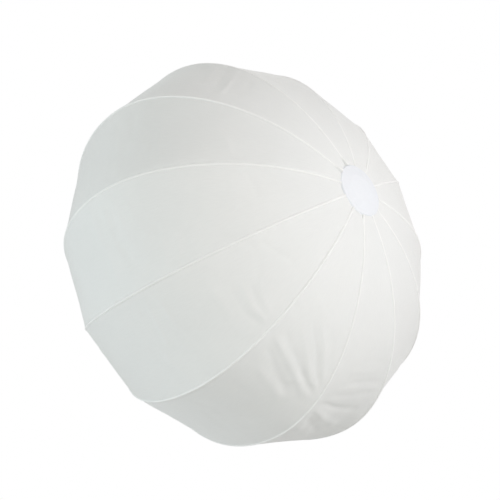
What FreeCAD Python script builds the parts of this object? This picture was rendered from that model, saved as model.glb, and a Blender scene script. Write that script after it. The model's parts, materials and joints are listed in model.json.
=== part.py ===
import FreeCAD, Part
import math
import os

# Collapsible lantern diffuser for a studio lamp: a white fabric globe on twelve
# folding meridian ribs, hinged on a speed ring that hangs on the lamp.
#
# Everything is made in a "lantern frame": +Z runs along the lantern's axis from the
# lamp to the front pole, and X, Y lie across it.  place() turns that frame so that
# the axis is horizontal and the front pole looks along -Y, with +Z up.  All in mm.

Vec = FreeCAD.Vector
ORIGIN = Vec(0, 0, 0)
AXIS = Vec(0, 0, 1)

# ---- driving dimensions -------------------------------------------------------
RIBS = 12
RIB_PHASE = 8.3            # azimuth of rib 1, degrees from +X towards +Z
GLOBE_R = 325.0            # largest radius, at the equator
FRONT_DEPTH = 237.5        # equator plane to the front pole
REAR_DEPTH = 273.4         # semi-axis of the rear half, cut off by the ring

FABRIC_T = 1.0             # thickness of the simple cover solids
SEAM_GAP = 0.15            # each cover strip stops this far short of the mid-gore plane
ROD_R = 2.0
ROD_INSET = 6.0            # rod centre line inside the fabric ridge

HINGE_R, HINGE_Z = 80.0, 50.0   # rib hinge on the speed ring
KNUCKLE_BACK = 32.0             # knuckle behind the equator plane
EYE_R_POS = 38.0                # front pivot circle on the hub
COVER_REAR_R = 90.0             # the cover's rear opening
COVER_FRONT_R = 46.5            # the cover's front opening, closed by the patch
COVER_STEPS = 12                # flat facets along each half of a strip

BORE_R = 49.0              # clear bore for the lamp head
TUBE_R = 56.0              # outside of the ring's tube, the collar's guide
SEAT_R, SEAT_T = 70.0, 6.0
FLANGE_R, FLANGE_Z0, FLANGE_Z1 = 74.0, 60.0, 64.0

KNUCKLE_EYE_R = 3.8
KNUCKLE_PIN_R = 1.25
RING_PIN_R = 1.5
HUB_PIN_R = 1.0
RUNNING = 0.05             # radial clearance of a pin in its eye
HUB_EYE_HOLE_R = 2.1       # slotted fit: the eleven free front pivots float here
FERRULE_R = 3.1

CRANK_LEN = 18.0           # hinge to the centre of the crank's ball
CRANK_UP = 12.0            # crank angle above the ring plane when open, degrees
CRANK_BALL_R = 2.0
GROOVE_HALF = 3.2          # half width of the collar's groove
COLLAR_GRIP_R = 64.5
COLLAR_FLANGE_R = 66.5
COLLAR_REAR_Z = 22.0

HUB_R, HUB_Z0, HUB_Z1 = 42.0, 533.5, 542.6
HUB_SLOT = 4.4
PATCH_R = 44.0

# ---- worked-out geometry ------------------------------------------------------
ROD_GLOBE_R = GLOBE_R - ROD_INSET
ROD_FRONT = FRONT_DEPTH - ROD_INSET
ROD_REAR = REAR_DEPTH - ROD_INSET
EQUATOR_Z = HINGE_Z + ROD_REAR * math.sqrt(1 - (HINGE_R / ROD_GLOBE_R) ** 2)
HALF_PITCH = math.pi / RIBS


def place(shape):
    """Lantern frame to the part's own frame: the axis lies down, front towards -Y."""
    turned = shape.copy()
    turned.rotate(ORIGIN, Vec(1, 0, 0), 90)
    return turned


def save(name, *shapes):
    """Write one node; several shapes in a node stay separate solids."""
    solids = [s for shape in shapes for s in shape.Solids]
    body = solids[0] if len(solids) == 1 else Part.makeCompound(solids)
    place(body).exportStep("parts/" + name + ".step")
    print(f"{name:18s} solids {len(solids):3d}  volume {body.Volume:12.1f}  ok {body.isValid()}")


def turn(shape, degrees):
    """Turn a shape about the lantern's axis."""
    turned = shape.copy()
    turned.rotate(ORIGIN, AXIS, degrees)
    return turned


def rib_angle(i):
    return RIB_PHASE + i * 360.0 / RIBS


def tube(r_in, r_out, z0, z1):
    outer = Part.makeCylinder(r_out, z1 - z0, Vec(0, 0, z0))
    return outer.cut(Part.makeCylinder(r_in, z1 - z0 + 2, Vec(0, 0, z0 - 1)))


def revolve(points):
    """Turn a closed outline of (radius, z) points about the axis."""
    outline = [Vec(r, 0, z) for r, z in points]
    face = Part.Face(Part.makePolygon(outline + outline[:1]))
    return face.revolve(ORIGIN, AXIS, 360)


# ---- meridian curves, in a rib's own plane: X is the radius, Z the axis --------
def meridian(radius, front, rear, theta):
    """Point of a two-part ellipse; theta is 0 at the front pole and pi at the rear."""
    depth = front if theta < math.pi / 2 else rear
    return Vec(radius * math.sin(theta), 0, EQUATOR_Z + depth * math.cos(theta))


def rod_point(theta):
    return meridian(ROD_GLOBE_R, ROD_FRONT, ROD_REAR, theta)


def rod_tangent(theta):
    """Unit tangent of the rod curve, towards growing theta (towards the lamp)."""
    depth = ROD_FRONT if theta < math.pi / 2 else ROD_REAR
    return Vec(ROD_GLOBE_R * math.cos(theta), 0, -depth * math.sin(theta)).normalize()


THETA_HINGE = math.pi - math.asin(HINGE_R / ROD_GLOBE_R)
THETA_KNUCKLE = math.pi / 2 + math.asin(KNUCKLE_BACK / ROD_REAR)
THETA_EYE = math.asin(EYE_R_POS / ROD_GLOBE_R)
THETA_COVER_REAR = math.pi - math.asin(COVER_REAR_R / GLOBE_R)
THETA_COVER_FRONT = math.asin(COVER_FRONT_R / GLOBE_R)

HINGE = rod_point(THETA_HINGE)
KNUCKLE = rod_point(THETA_KNUCKLE)
EYE = rod_point(THETA_EYE)


def theta_after(theta, distance):
    """Walk along the rod curve by a signed distance towards the lamp."""
    steps = 40
    for _ in range(steps):
        depth = ROD_FRONT if theta < math.pi / 2 else ROD_REAR
        speed = math.hypot(ROD_GLOBE_R * math.cos(theta), depth * math.sin(theta))
        theta += distance / steps / speed
    return theta


def rod(theta_a, theta_b):
    """Round wire along the rod curve; it changes ellipse at the equator."""
    pieces = []
    stops = [theta_a, theta_b]
    if theta_a < math.pi / 2 < theta_b:
        stops = [theta_a, math.pi / 2, theta_b]
    for t0, t1 in zip(stops, stops[1:]):
        mid = (t0 + t1) / 2
        depth = ROD_FRONT if mid < math.pi / 2 else ROD_REAR
        pieces.append(ellipse_arc(depth, t0, t1))
    path = Part.Wire(pieces)
    start, along = rod_point(theta_a), rod_tangent(theta_a)
    ring = Part.Wire(Part.makeCircle(ROD_R, start, along))
    return path.makePipeShell([ring], True, True)


def ellipse_arc(depth, t0, t1):
    """Edge of the rod ellipse between two values of theta."""
    centre = Vec(0, 0, EQUATOR_Z)
    major = centre + Vec(ROD_GLOBE_R, 0, 0)
    minor = centre + Vec(0, 0, depth)
    ellipse = Part.Ellipse(major, minor, centre)
    a0 = ellipse.parameter(meridian(ROD_GLOBE_R, depth, depth, t0))
    a1 = ellipse.parameter(meridian(ROD_GLOBE_R, depth, depth, t1))
    edge = ellipse.toShape(min(a0, a1), max(a0, a1))
    if abs(a0 - a1) > math.pi:
        edge = ellipse.toShape(max(a0, a1), min(a0, a1) + 2 * math.pi)
    return edge


def point_along(shape, origin, direction):
    """Move a fitting made at the origin along +Z to a place on the rib."""
    turned = shape.copy()
    angle = math.degrees(math.atan2(direction.x, direction.z))
    turned.rotate(ORIGIN, Vec(0, 1, 0), angle)
    turned.translate(origin)
    return turned


def cross_pin(radius, half, x=0.0, z=0.0):
    """Cylinder across the rib plane."""
    return Part.makeCylinder(radius, 2 * half, Vec(x, -half, z), Vec(0, 1, 0))


def plate(x0, x1, half_t, z0, z1):
    return Part.makeBox(x1 - x0, 2 * half_t, z1 - z0, Vec(x0, -half_t, z0))


# ---- rib fittings, each made at its pivot with the rod leaving along +Z --------
def ferrule(z0, z1):
    body = Part.makeCylinder(FERRULE_R, z1 - z0, Vec(0, 0, z0))
    return body.makeChamfer(0.6, [body.Edges[0], body.Edges[2]])


def eye_fitting(eye_r, half_t, hole_r, neck, ferrule_end):
    neck_half = min(eye_r - 0.6, 2.6)
    shape = cross_pin(eye_r, half_t).fuse(plate(-neck_half, neck_half, half_t, 0, neck + 2))
    shape = shape.fuse(ferrule(neck, ferrule_end))
    return shape.cut(cross_pin(hole_r, half_t + 2)).removeSplitter()


def fork_fitting():
    gap_half, ear_half, neck, ferrule_end = 1.6, 3.1, 6.0, 17.0
    solid = cross_pin(KNUCKLE_EYE_R, ear_half).fuse(plate(-3.0, 3.0, ear_half, 0, neck + 1.5))
    solid = solid.cut(plate(-6, 6, gap_half, -6, neck - 0.2))
    solid = solid.fuse(ferrule(neck, ferrule_end))
    return solid.cut(cross_pin(KNUCKLE_PIN_R + 0.02, 9)).removeSplitter()


def crank_fitting():
    """Hinge eye on the speed ring with the crank that the collar moves."""
    out = rod_tangent(THETA_HINGE) * -1
    shape = point_along(eye_fitting(5.0, 1.6, RING_PIN_R + RUNNING, 7.5, 18.0), HINGE, out)
    up = math.radians(CRANK_UP)
    inward = Vec(-math.cos(up), 0, math.sin(up))
    arm = plate(-1.5, 1.5, 1.6, 4.0, CRANK_LEN)
    arm = arm.fuse(Part.makeSphere(CRANK_BALL_R, Vec(0, 0, CRANK_LEN)))
    return shape.fuse(point_along(arm, HINGE, inward)).removeSplitter()


def rear_rib():
    start = theta_after(THETA_KNUCKLE, 12.0)
    end = theta_after(THETA_HINGE, -12.0)
    to_lamp = rod_tangent(THETA_KNUCKLE)
    wire = rod(start, end)
    fork = point_along(fork_fitting(), KNUCKLE, to_lamp)
    arm = wire.fuse(fork).fuse(crank_fitting()).removeSplitter()
    pin = cross_pin(KNUCKLE_PIN_R, 3.4, KNUCKLE.x, KNUCKLE.z)
    return arm, pin


def front_rib():
    start = theta_after(THETA_EYE, 14.0)
    end = theta_after(THETA_KNUCKLE, -12.0)
    to_front = rod_tangent(THETA_KNUCKLE) * -1
    knuckle_eye = eye_fitting(KNUCKLE_EYE_R, 1.4, KNUCKLE_PIN_R + RUNNING, 6.0, 17.0)
    hub_eye = eye_fitting(3.4, 1.3, HUB_EYE_HOLE_R, 9.0, 18.0)
    arm = rod(start, end).fuse(point_along(knuckle_eye, KNUCKLE, to_front))
    return arm.fuse(point_along(hub_eye, EYE, rod_tangent(THETA_EYE))).removeSplitter()


# ---- cover: flat facets from each ridge to the two mid-gore planes -------------
def cover_station(theta, inset):
    """Ridge point and the two mid-gore points at one place along a strip."""
    outer = meridian(GLOBE_R, FRONT_DEPTH, REAR_DEPTH, theta)
    depth = FRONT_DEPTH if theta < math.pi / 2 else REAR_DEPTH
    normal = Vec(math.sin(theta) / GLOBE_R, 0, math.cos(theta) / depth).normalize()
    ridge = outer - normal * inset
    reach = ridge.x * math.sin(HALF_PITCH) - SEAM_GAP
    left = ridge + Vec(-math.sin(HALF_PITCH), -math.cos(HALF_PITCH), 0) * reach
    right = ridge + Vec(-math.sin(HALF_PITCH), math.cos(HALF_PITCH), 0) * reach
    return left, ridge, right


def flat_face(*points):
    return Part.Face(Part.makePolygon(list(points) + [points[0]]))


def cover_strip(theta_a, theta_b):
    """Closed V-section shell of the strip sewn to one rib."""
    thetas = [theta_a + (theta_b - theta_a) * k / COVER_STEPS for k in range(COVER_STEPS + 1)]
    outer = [cover_station(t, 0.0) for t in thetas]
    inner = [cover_station(t, FABRIC_T) for t in thetas]
    faces = []
    for k in range(COVER_STEPS):
        for side in (0, 1):
            for skin in (outer, inner):
                faces.append(flat_face(skin[k][side], skin[k][side + 1],
                                       skin[k + 1][side + 1], skin[k + 1][side]))
        for edge in (0, 2):
            faces.append(flat_face(outer[k][edge], outer[k + 1][edge],
                                   inner[k + 1][edge], inner[k][edge]))
    for k in (0, COVER_STEPS):
        for side in (0, 1):
            faces.append(flat_face(outer[k][side], outer[k][side + 1],
                                   inner[k][side + 1], inner[k][side]))
    solid = Part.Solid(Part.makeShell(faces))
    if solid.Volume < 0:
        solid.reverse()
    return solid


# ---- speed ring and what is fixed to it ----------------------------------------
def hinge_ears():
    """Pair of cheeks that carry one rib hinge, with the pin's holes."""
    outline = [(70, 64), (72.5, 64), (79.5, 55.5), (84.8, 52), (84.8, 47.5), (80, 45),
               (75, 47), (70, 58)]
    points = [Vec(r, -4.4, z) for r, z in outline]
    block = Part.Face(Part.makePolygon(points + points[:1])).extrude(Vec(0, 8.8, 0))
    block = block.cut(plate(60, 90, 1.9, 40, 60))
    return block.cut(cross_pin(RING_PIN_R + 0.02, 9, HINGE.x, HINGE.z))


def screw_angles():
    return [RIB_PHASE + 15.0 + 90.0 * k for k in range(4)]


SCREW_PCD_R, SCREW_R = 61.5, 2.0


def screw():
    """Countersunk screw from the seat flange into the insert."""
    head = Part.makeCone(SCREW_R, 3.8, 2.0, Vec(SCREW_PCD_R, 0, SEAT_T - 2.2), AXIS)
    shank = Part.makeCylinder(SCREW_R, 10.0, Vec(SCREW_PCD_R, 0, SEAT_T - 12.0))
    socket = Part.makeCylinder(1.3, 1.4, Vec(SCREW_PCD_R, 0, SEAT_T - 1.4))
    return head.fuse(shank).cut(socket)


def screw_hole():
    shank = Part.makeCylinder(SCREW_R + 0.05, 14.0, Vec(SCREW_PCD_R, 0, SEAT_T - 13.0))
    sink = Part.makeCone(SCREW_R + 0.05, 4.25, 2.4, Vec(SCREW_PCD_R, 0, SEAT_T - 2.3), AXIS)
    return shank.fuse(sink)


def speed_ring():
    ring = revolve([(BORE_R, 0), (SEAT_R - 1, 0), (SEAT_R, 1), (SEAT_R, SEAT_T - 1),
                    (SEAT_R - 1, SEAT_T), (TUBE_R, SEAT_T), (TUBE_R, FLANGE_Z0),
                    (FLANGE_R, FLANGE_Z0), (FLANGE_R, FLANGE_Z1 - 1), (FLANGE_R - 1, FLANGE_Z1),
                    (BORE_R + 1, FLANGE_Z1), (BORE_R, FLANGE_Z1 - 1)])
    for i in range(RIBS):
        ring = ring.fuse(turn(hinge_ears(), rib_angle(i)))
    for angle in screw_angles():
        ring = ring.cut(turn(screw_hole(), angle))
    return ring.removeSplitter()


def bayonet_insert():
    body = tube(BORE_R, 66.0, -9.0, 0.0)
    for k in range(3):
        lug = tube(64.0, 72.0, -9.0, -5.5)
        wedge = Part.makeCylinder(80, 10, Vec(0, 0, -12), AXIS, 38)
        body = body.fuse(turn(lug.common(wedge), 120 * k + 71))
    for angle in screw_angles():
        body = body.cut(turn(screw_hole(), angle))
    return body.removeSplitter()


def hem_band():
    """Elastic hem round the cheeks, at the rear opening of the cover."""
    return revolve([(84.9, 43.0), (88.6, 42.4), (89.4, 43.2), (89.4, 45.0), (88.6, 45.7),
                    (84.9, 45.3)])


# ---- sliding collar and its lock knob -------------------------------------------
GROOVE_Z = HINGE_Z + CRANK_LEN * math.sin(math.radians(CRANK_UP))
KNOB_AZ = RIB_PHASE - 75.0 - 15.0 - 15.0
KNOB_Z = 34.0


def fold_collar():
    inner = TUBE_R + RUNNING
    low, high = GROOVE_Z - GROOVE_HALF, GROOVE_Z + GROOVE_HALF
    collar = revolve([(inner, COLLAR_REAR_Z), (COLLAR_GRIP_R - 1, COLLAR_REAR_Z),
                      (COLLAR_GRIP_R, COLLAR_REAR_Z + 1), (COLLAR_GRIP_R, low - 4),
                      (COLLAR_FLANGE_R, low - 4), (COLLAR_FLANGE_R, low), (59.5, low),
                      (59.5, high), (COLLAR_FLANGE_R, high), (COLLAR_FLANGE_R, high + 2.4),
                      (inner, high + 2.4)])
    boss = Part.makeCylinder(6.0, 10.5, Vec(57.5, 0, KNOB_Z), Vec(1, 0, 0))
    flutes = 24
    for k in range(flutes):
        flute = Part.makeCylinder(1.3, 14, Vec(COLLAR_GRIP_R + 0.4, 0, COLLAR_REAR_Z + 5))
        if abs((360.0 / flutes * (k + 0.5) + 180) % 360 - 180) > 10:
            collar = collar.cut(turn(flute, KNOB_AZ + 360.0 / flutes * (k + 0.5)))
    collar = collar.fuse(turn(boss, KNOB_AZ))
    hole = Part.makeCylinder(3.0 + RUNNING, 20, Vec(54, 0, KNOB_Z), Vec(1, 0, 0))
    return collar.cut(turn(hole, KNOB_AZ)).removeSplitter()


def lock_knob():
    """Thumb screw: a radial stud with a lobed head; its tip clamps the tube."""
    stud = Part.makeCylinder(3.0, 14.0, Vec(TUBE_R + 0.4, 0, KNOB_Z), Vec(1, 0, 0))
    head = Part.makeCylinder(9.0, 10.0, Vec(68.6, 0, KNOB_Z), Vec(1, 0, 0))
    head = head.makeChamfer(1.0, [head.Edges[0], head.Edges[2]])
    lobes = 8
    for k in range(lobes):
        a = 2 * math.pi * k / lobes
        cut_at = Vec(66, 10.4 * math.cos(a), KNOB_Z + 10.4 * math.sin(a))
        head = head.cut(Part.makeCylinder(2.6, 16, cut_at, Vec(1, 0, 0)))
    return turn(head.fuse(stud).removeSplitter(), KNOB_AZ)


# ---- front hub -------------------------------------------------------------------
def front_hub():
    hub = Part.makeCylinder(HUB_R, HUB_Z1 - HUB_Z0, Vec(0, 0, HUB_Z0))
    hub = hub.makeChamfer(1.0, [hub.Edges[0], hub.Edges[2]])
    for i in range(RIBS):
        slot = plate(EYE_R_POS - 5.2, HUB_R + 5, HUB_SLOT / 2, HUB_Z0 - 1, HUB_Z1 + 1)
        slot = slot.fuse(cross_pin(HUB_PIN_R + 0.02, 5.2, EYE.x, EYE.z))
        hub = hub.cut(turn(slot, rib_angle(i)))
    for k in range(3):
        hub = hub.cut(turn(hub_screw(0.05), 120 * k + RIB_PHASE))
    return hub.removeSplitter()


CAP_R, CAP_T = 26.0, 2.5


def hub_screw(grow=0.0):
    head = Part.makeCylinder(3.2 + grow, 2.2, Vec(20, 0, HUB_Z0 - CAP_T - 2.2))
    shank = Part.makeCylinder(1.5 + grow, CAP_T + 6.0, Vec(20, 0, HUB_Z0 - CAP_T))
    if grow:
        return shank
    return head.fuse(shank).cut(Part.makeCylinder(1.2, 1.2, Vec(20, 0, HUB_Z0 - CAP_T - 2.2)))


def hub_cap():
    cap = Part.makeCylinder(CAP_R, CAP_T, Vec(0, 0, HUB_Z0 - CAP_T))
    cap = cap.makeChamfer(0.7, [cap.Edges[2]])
    for k in range(3):
        cap = cap.cut(turn(hub_screw(0.05), 120 * k + RIB_PHASE))
    return cap


def front_patch():
    """Shallow dome of doubled fabric that closes the front opening of the cover."""
    steps = 6
    rim = math.asin(PATCH_R / GLOBE_R)
    top = [meridian(GLOBE_R, FRONT_DEPTH, REAR_DEPTH, rim * k / steps) for k in range(steps + 1)]
    outline = [(p.x, p.z) for p in top] + [(p.x, p.z - FABRIC_T) for p in reversed(top)]
    return revolve(outline)


def main():
    os.makedirs("parts", exist_ok=True)
    save("speed_ring", speed_ring())
    save("bayonet_insert", bayonet_insert())
    save("insert_screws", *[turn(screw(), a) for a in screw_angles()])
    save("hinge_pins", *[turn(cross_pin(RING_PIN_R, 5.2, HINGE.x, HINGE.z), rib_angle(i))
                         for i in range(RIBS)])
    save("hem_band", hem_band())
    save("fold_collar", fold_collar())
    save("lock_knob", lock_knob())
    save("front_hub", front_hub())
    save("hub_pins", *[turn(cross_pin(HUB_PIN_R, 4.6, EYE.x, EYE.z), rib_angle(i))
                       for i in range(RIBS)])
    save("hub_cap", hub_cap())
    save("hub_screws", *[turn(hub_screw(), 120 * k + RIB_PHASE) for k in range(3)])
    save("front_patch", front_patch())

    rear_parts, front_part = rear_rib(), front_rib()
    rear_cover = cover_strip(THETA_KNUCKLE, THETA_COVER_REAR)
    front_cover = cover_strip(THETA_COVER_FRONT, THETA_KNUCKLE - SEAM_GAP / GLOBE_R * 2)
    for i in range(RIBS):
        angle = rib_angle(i)
        save(f"rear_rib_{i + 1:02d}", *[turn(s, angle) for s in rear_parts])
        save(f"front_rib_{i + 1:02d}", turn(front_part, angle))
        save(f"rear_cover_{i + 1:02d}", turn(rear_cover, angle))
        save(f"front_cover_{i + 1:02d}", turn(front_cover, angle))
    print("hinge", HINGE, "knuckle", KNUCKLE, "eye", EYE, "equator", EQUATOR_Z)
    print("groove centre", GROOVE_Z, "knob azimuth", KNOB_AZ)


main()
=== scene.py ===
import json
import math
import random

import bpy
import numpy as np
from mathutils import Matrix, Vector, noise


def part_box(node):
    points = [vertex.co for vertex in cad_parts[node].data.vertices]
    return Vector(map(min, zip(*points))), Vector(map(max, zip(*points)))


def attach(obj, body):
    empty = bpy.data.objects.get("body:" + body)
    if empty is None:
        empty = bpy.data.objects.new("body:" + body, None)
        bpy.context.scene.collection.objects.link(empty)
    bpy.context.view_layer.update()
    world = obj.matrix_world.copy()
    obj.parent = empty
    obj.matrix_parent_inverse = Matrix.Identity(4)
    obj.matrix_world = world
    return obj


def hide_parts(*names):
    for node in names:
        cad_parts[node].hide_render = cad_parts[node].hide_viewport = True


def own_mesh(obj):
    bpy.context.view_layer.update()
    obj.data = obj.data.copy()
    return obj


# A collapsible lantern diffuser: a white cloth globe on twelve ribs.  The axis lies along Y,
# the front pole looks along -Y and the lamp side is at Y = 0.  Metres throughout.

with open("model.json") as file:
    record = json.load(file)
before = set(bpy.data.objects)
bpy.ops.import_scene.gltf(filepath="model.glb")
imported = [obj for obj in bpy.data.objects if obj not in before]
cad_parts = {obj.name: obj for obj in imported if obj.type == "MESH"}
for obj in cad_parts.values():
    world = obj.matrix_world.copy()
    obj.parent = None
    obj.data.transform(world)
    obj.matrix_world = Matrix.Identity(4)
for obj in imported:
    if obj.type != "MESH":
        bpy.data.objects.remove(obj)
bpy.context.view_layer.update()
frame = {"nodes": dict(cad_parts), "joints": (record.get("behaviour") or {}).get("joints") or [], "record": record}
MM = 0.001

# Ribs are counted from 0 in the tables below, and from 01 in the names.
RIBS = 12
PITCH = 2 * math.pi / RIBS
HALF = PITCH / 2
JOINTS = {joint["name"]: joint for joint in frame["joints"]}
HINGE_X, _, HINGE_Z = JOINTS["rib_fold_01"]["pos_m"]
RIB_PHASE = math.atan2(HINGE_Z, HINGE_X)       # azimuth of the first rib

# The globe's shape: two half ellipses that meet at the equator.
GLOBE_R = 0.325
FRONT_DEPTH = 0.2375
REAR_DEPTH = 0.2734
POLE = -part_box("front_patch")[0].y
EQUATOR = POLE - FRONT_DEPTH                   # distance in front of the seat, like POLE
PATCH_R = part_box("front_patch")[1].x
HEM_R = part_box("hem_band")[1].x
FRONT_OPENING_R = 0.041
REAR_OPENING_R = 0.0895

# theta runs along a rib from 0 at the front pole, through a right angle at the equator.
KNUCKLE_DEPTH = -JOINTS["knuckle_01"]["pos_m"][1]
THETA_KNUCKLE = math.pi / 2 + math.asin((EQUATOR - KNUCKLE_DEPTH) / REAR_DEPTH)
THETA_FRONT = math.asin(FRONT_OPENING_R / GLOBE_R)
THETA_REAR = math.pi - math.asin(REAR_OPENING_R / GLOBE_R)

COVER_T = 0.5 * MM
FACING_T = 0.3 * MM
TAB_T = 0.35 * MM


# ---------------------------------------------------------------- shape of the taut cover
def depth_of(theta):
    """The half ellipse's semi-axis along Y."""
    return np.where(theta < math.pi / 2, FRONT_DEPTH, REAR_DEPTH)


def ring_point(azimuth, radius, y):
    """Point or points from an azimuth, a distance from the axis and y."""
    return np.stack([radius * np.cos(azimuth), y, radius * np.sin(azimuth)], -1)


def meridian(theta):
    """(radius, y) of the ridge line at theta, 0 at the front pole."""
    return GLOBE_R * np.sin(theta), -(EQUATOR + depth_of(theta) * np.cos(theta))


def slope_normal(theta, azimuth, squeeze):
    """Outward normal of a meridian whose radius is squeeze times the ridge's."""
    radial = depth_of(theta) * np.sin(theta)
    forward = -GLOBE_R * squeeze * np.cos(theta)
    normal = ring_point(azimuth, radial, forward)
    return normal / np.linalg.norm(normal, axis=-1, keepdims=True)


def smooth(x):
    """Soft step from 0 at x = 0 to 1 at x = 1."""
    x = np.clip(x, 0, 1)
    return x * x * (3 - 2 * x)


def rib_azimuth(i):
    return RIB_PHASE + i * PITCH


def chart(azimuth_deg, theta_deg):
    """Point of the flat-gored surface from its azimuth and theta, in degrees."""
    azimuth, theta = math.radians(azimuth_deg), math.radians(theta_deg)
    into = (azimuth - RIB_PHASE) % PITCH
    radius, y = meridian(np.array(theta))
    radius = radius * math.cos(HALF) / math.cos(into - HALF)
    return np.array([radius * math.cos(azimuth), float(y), radius * math.sin(azimuth)])


# ---------------------------------------------------------------- creases in the cloth
# Pulled creases: points (azimuth, theta) in degrees, half width and height in mm.
CREASES = [
    # gore between the seams at 218 and 248 degrees: pulled towards 54 on the lower seam
    ([(219.5, 85), (224, 86.5), (237, 88)], 5.0, 0.65),
    ([(220, 88.5), (226, 90), (240, 94)], 7.0, -0.6),
    ([(221, 80), (230, 82), (240, 82)], 8.0, 0.5),
    ([(229, 55.5), (238, 55), (247.5, 54)], 4.6, 0.95),
    ([(230, 59), (239, 57.8), (247, 55.5)], 5.6, -0.8),
    ([(233, 49), (240, 50.5), (247, 52.5)], 4.6, 0.6),
    ([(232, 52.3), (240, 53), (247, 53.4)], 4.0, -0.65),
    ([(227, 64), (238, 62.5), (247, 60)], 9.0, 0.7),
    # between 248 and 278: a fan that runs together at 62 to 68 on the lower seam
    ([(249.5, 55), (262, 60.5), (277.4, 68)], 7.6, 1.45),
    ([(250.5, 52), (264, 58.5), (277.2, 66.5)], 6.2, -1.5),
    ([(253, 48), (266, 55.5), (277.4, 65)], 6.8, 1.2),
    ([(259, 46), (269.5, 53.5), (277.4, 63.5)], 5.8, -0.95),
    ([(264, 44.5), (272, 51.5), (277.5, 61.5)], 5.6, 0.75),
    ([(269, 43), (274.5, 49.5), (277.6, 58)], 5.4, -0.5),
    ([(251, 60), (260, 65.5), (270, 70.5)], 8.5, -1.1),
    ([(252, 66), (262, 71), (271, 75)], 9.5, 0.9),
    ([(250, 77), (262, 80), (272, 84)], 12.0, -0.8),
    ([(253, 39), (262, 42), (271, 44)], 7.0, 0.6),
    # between 278 and 308
    ([(279, 70.5), (288, 76), (301, 84)], 7.6, 1.8),
    ([(280.5, 68.3), (288, 70.5), (303, 74)], 7.0, -1.7),
    ([(280, 75.5), (289, 82), (297, 89)], 7.6, -1.2),
    ([(280, 80), (288, 86), (295, 92)], 7.6, 0.7),
    ([(283, 65.5), (294, 65), (307, 65.5)], 5.4, -0.8),
    ([(282, 62.5), (296, 61.7), (307.5, 63)], 6.0, 0.75),
    ([(288, 60), (298, 59), (307.5, 59.5)], 4.8, -0.7),
    ([(286, 56), (297, 55), (307, 55)], 7.5, 0.5),
    ([(290, 52), (299, 51.5), (306, 52.5)], 5.4, -0.4),
    # between 308 and 338
    ([(310, 62), (322, 66), (331, 71)], 7.5, 0.9),
    ([(311, 56), (322, 60), (334, 66)], 7.0, -0.7),
    ([(309, 69), (320, 72), (330, 78)], 7.0, -0.6),
    # between 128 and 158
    ([(154, 51), (142, 52.5), (129.5, 54)], 5.6, 1.3),
    ([(155, 54.5), (142, 56.5), (131, 58.5)], 6.6, -1.1),
    ([(146, 61), (137, 62.5), (129.5, 63.5)], 5.2, 0.85),
    ([(147, 65), (138, 66), (130, 67)], 5.6, -0.75),
    ([(152, 47), (142, 46), (131, 47)], 6.6, -0.7),
    # between 158 and 188
    ([(160, 78), (170, 78.5), (181, 80)], 9.5, -0.8),
    ([(187, 64), (179, 66), (168, 66.5)], 6.0, 0.6),
    # between 188 and 218
    ([(190, 89), (200, 86), (216, 82.5)], 11.0, -1.6),
    ([(190, 97), (202, 94), (215, 91)], 13.0, 1.4),
    ([(190, 80.5), (200, 78), (208, 75)], 8.0, 0.7),
    ([(190, 40), (198, 38.5), (207, 38)], 6.0, -0.7),
    ([(190, 46), (199, 44), (209, 44)], 6.5, 0.6),
]
HIDDEN_CREASES = 7                    # faint seeded creases in every gore
CREASE_SEED = 12
GORE_DEG = 360 / RIBS
GORE_RIM = 1.0                        # degrees between a crease's start and its seam

# Noise that bends the creases and varies their height: scale per metre and offsets.
CREASE_WANDER = 4.5 * MM              # how far a crease strays from its line
WANDER_SCALE, WANDER_OFFSETS = 16.0, (2.3, 6.1, 9.7)
VIGOUR, VIGOUR_SCALE, VIGOUR_OFFSET = 0.45, 34.0, 4.4
NOISE_GAIN = 1.6                      # brings the noise to about -1 to 1
WIDTH_AT_START, WIDTH_GROWTH = 0.7, 0.35
FADE_IN, FADE_OUT = 0.16, 0.2         # share of a crease's length


def seeded_creases():
    """Faint slanting creases, from one seam part of the way to the other, in each gore."""
    rng = random.Random(CREASE_SEED)
    made = []
    for gore in range(RIBS):
        base = math.degrees(rib_azimuth(gore))
        for _ in range(HIDDEN_CREASES):
            theta = rng.uniform(28, 140)
            side = rng.choice([0, 1])
            reach = rng.uniform(0.4, 0.85)
            slant = rng.uniform(2, 9) * rng.choice([-1, 1])
            start = GORE_RIM if side == 0 else GORE_DEG - GORE_RIM
            stop = GORE_DEG * reach if side == 0 else GORE_DEG * (1 - reach)
            middle = (start + stop) / 2 + rng.uniform(-1, 1)
            points = [(base + start, theta), (base + middle, theta + 0.45 * slant),
                      (base + stop, theta + slant)]
            half_width = rng.uniform(5, 9)
            height = rng.uniform(0.3, 0.75) * rng.choice([-1, 1])
            made.append((points, half_width, height))
    return made


ALL_CREASES = CREASES + seeded_creases()


def noise_at(points, scale, offset):
    """Smooth seeded noise, about -1 to 1, at an array of points."""
    flat = points.reshape(-1, 3) * scale + offset
    values = [noise.noise(Vector(p)) for p in flat]
    return np.array(values).reshape(points.shape[:-1]) * NOISE_GAIN


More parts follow.
